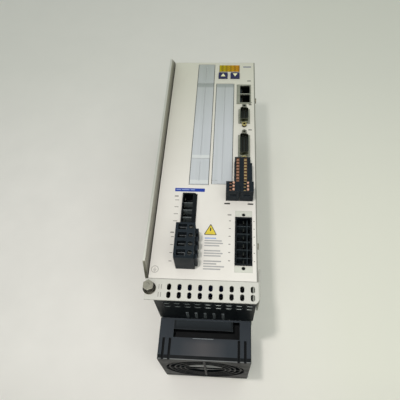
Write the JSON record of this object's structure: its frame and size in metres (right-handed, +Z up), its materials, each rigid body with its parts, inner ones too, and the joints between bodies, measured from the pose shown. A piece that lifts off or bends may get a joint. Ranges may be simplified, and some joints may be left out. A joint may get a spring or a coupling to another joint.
{
  "type": "servo drive",
  "caption": "Wall-mounted servo drive: tall white front with pluggable terminals, data sockets, option slots, display and keys, proud aluminium side plate and a slide-out fan module below.",
  "frame": {"origin": "on the back face of the rear plate, on the panel's centre line and level with the chassis's lower edge", "axes": "+X to the viewer's right, +Y into the wall that the drive is mounted on, so the front faces -Y, +Z up"},
  "size_m": [0.0963, 0.155, 0.3356],
  "materials": {
    "white_paint": "satin powder coat",
    "black_paint": "satin powder coat",
    "side_aluminium": "brushed",
    "mill_aluminium": "mill finish",
    "zinc_sheet": "zinc plated",
    "cover_plate": "satin grey",
    "screw_steel": "zinc plated",
    "board_green": "solder mask",
    "black_plastic": "moulded",
    "black_gloss": "moulded",
    "capacitor_sleeve": "shrink sleeve",
    "amber_window": "tinted",
    "navy_key": "moulded",
    "plated_shell": "tin plated",
    "insulator_green": "moulded",
    "brass_post": "bright",
    "copper_contact": "bright",
    "orange_key": "moulded",
    "grip_grey": "moulded"
  },
  "bodies": {
    "drive": {"bottom_cap": "white_paint", "bottom_grille": "black_paint", "button_switches": "black_plastic", "capacitors": "capacitor_sleeve", "card_guides": "black_plastic", "casing_screws": "screw_steel", "chassis": "zinc_sheet", "control_board": "board_green", "display_board": "board_green", "display_module": "black_plastic", "display_window": "amber_window", "dsub_inserts": "insulator_green", "dsub_jackscrews": "brass_post", "dsub_shells": "plated_shell", "earth_screw": "screw_steel", "earth_washers": "screw_steel", "fan_socket": "black_plastic", "front_cover": "white_paint", "heatsink": "mill_aluminium", "mains_header": "black_gloss", "motor_header": "black_gloss", "network_inserts": "black_plastic", "network_shield": "plated_shell", "option_cover_lower": "cover_plate", "option_cover_middle": "cover_plate", "option_cover_right": "cover_plate", "option_cover_upper": "cover_plate", "power_board": "board_green", "power_module": "black_plastic", "power_pins": "plated_shell", "rear_plate": "zinc_sheet", "side_plate": "side_aluminium", "side_plate_screws": "screw_steel", "side_plate_spacers": "mill_aluminium", "signal_contacts": "copper_contact", "signal_header": "black_plastic", "slot_frame": "zinc_sheet", "supply_header": "black_gloss"},
    "fan_module": {"fan_housing": "black_plastic", "fan_grip": "grip_grey", "finger_guard": "black_plastic", "fan_stator": "copper_contact", "fan_bearings": "screw_steel", "fan_plug": "black_plastic"},
    "fan_rotor": {"fan_impeller": "black_plastic", "fan_shaft": "screw_steel"},
    "supply_connector": {"supply_plug": "black_plastic", "supply_plug_screws": "screw_steel"},
    "key_up": {"button_up": "navy_key"},
    "key_down": {"button_down": "navy_key"},
    "signal_plug_left": {"io_plug_left": "black_plastic", "io_clamps_left": "copper_contact"},
    "release_key_left_1": {"release_left_1": "orange_key"},
    "release_key_left_2": {"release_left_2": "orange_key"},
    "release_key_left_3": {"release_left_3": "orange_key"},
    "signal_plug_right": {"io_plug_right": "black_plastic", "io_clamps_right": "copper_contact"},
    "release_key_right_1": {"release_right_1": "orange_key"},
    "release_key_right_2": {"release_right_2": "orange_key"},
    "release_key_right_3": {"release_right_3": "orange_key"}
  },
  "joints": [
    {"name": "fan_module_slide", "type": "slide", "parent": "drive", "child": "fan_module", "axis": [0, 0, -1], "range_m": [0, 0.045]},
    {"name": "fan_spin", "type": "hinge", "parent": "fan_module", "child": "fan_rotor", "pos_m": [0.00175, -0.0424, -0.027], "axis": [0, 0, 1], "continuous": true},
    {"name": "supply_plug_pull", "type": "slide", "parent": "drive", "child": "supply_connector", "axis": [0, -1, 0], "range_m": [0, 0.03]},
    {"name": "key_up_press", "type": "slide", "parent": "drive", "child": "key_up", "axis": [0, 1, 0], "range_m": [0, 0.0008], "stiffness_N_per_m": 800, "springref_m": -0.0008},
    {"name": "key_down_press", "type": "slide", "parent": "drive", "child": "key_down", "axis": [0, 1, 0], "range_m": [0, 0.0008], "stiffness_N_per_m": 800, "springref_m": -0.0008},
    {"name": "signal_plug_left_pull", "type": "slide", "parent": "drive", "child": "signal_plug_left", "axis": [0, -1, 0], "range_m": [0, 0.02]},
    {"name": "release_left_1_press", "type": "slide", "parent": "signal_plug_left", "child": "release_key_left_1", "axis": [0, 1, 0], "range_m": [0, 0.001], "stiffness_N_per_m": 800, "springref_m": -0.0005},
    {"name": "release_left_2_press", "type": "slide", "parent": "signal_plug_left", "child": "release_key_left_2", "axis": [0, 1, 0], "range_m": [0, 0.001], "stiffness_N_per_m": 800, "springref_m": -0.0005},
    {"name": "release_left_3_press", "type": "slide", "parent": "signal_plug_left", "child": "release_key_left_3", "axis": [0, 1, 0], "range_m": [0, 0.001], "stiffness_N_per_m": 800, "springref_m": -0.0005},
    {"name": "signal_plug_right_pull", "type": "slide", "parent": "drive", "child": "signal_plug_right", "axis": [0, -1, 0], "range_m": [0, 0.02]},
    {"name": "release_right_1_press", "type": "slide", "parent": "signal_plug_right", "child": "release_key_right_1", "axis": [0, 1, 0], "range_m": [0, 0.001], "stiffness_N_per_m": 800, "springref_m": -0.0005},
    {"name": "release_right_2_press", "type": "slide", "parent": "signal_plug_right", "child": "release_key_right_2", "axis": [0, 1, 0], "range_m": [0, 0.001], "stiffness_N_per_m": 800, "springref_m": -0.0005},
    {"name": "release_right_3_press", "type": "slide", "parent": "signal_plug_right", "child": "release_key_right_3", "axis": [0, 1, 0], "range_m": [0, 0.001], "stiffness_N_per_m": 800, "springref_m": -0.0005}
  ]
}
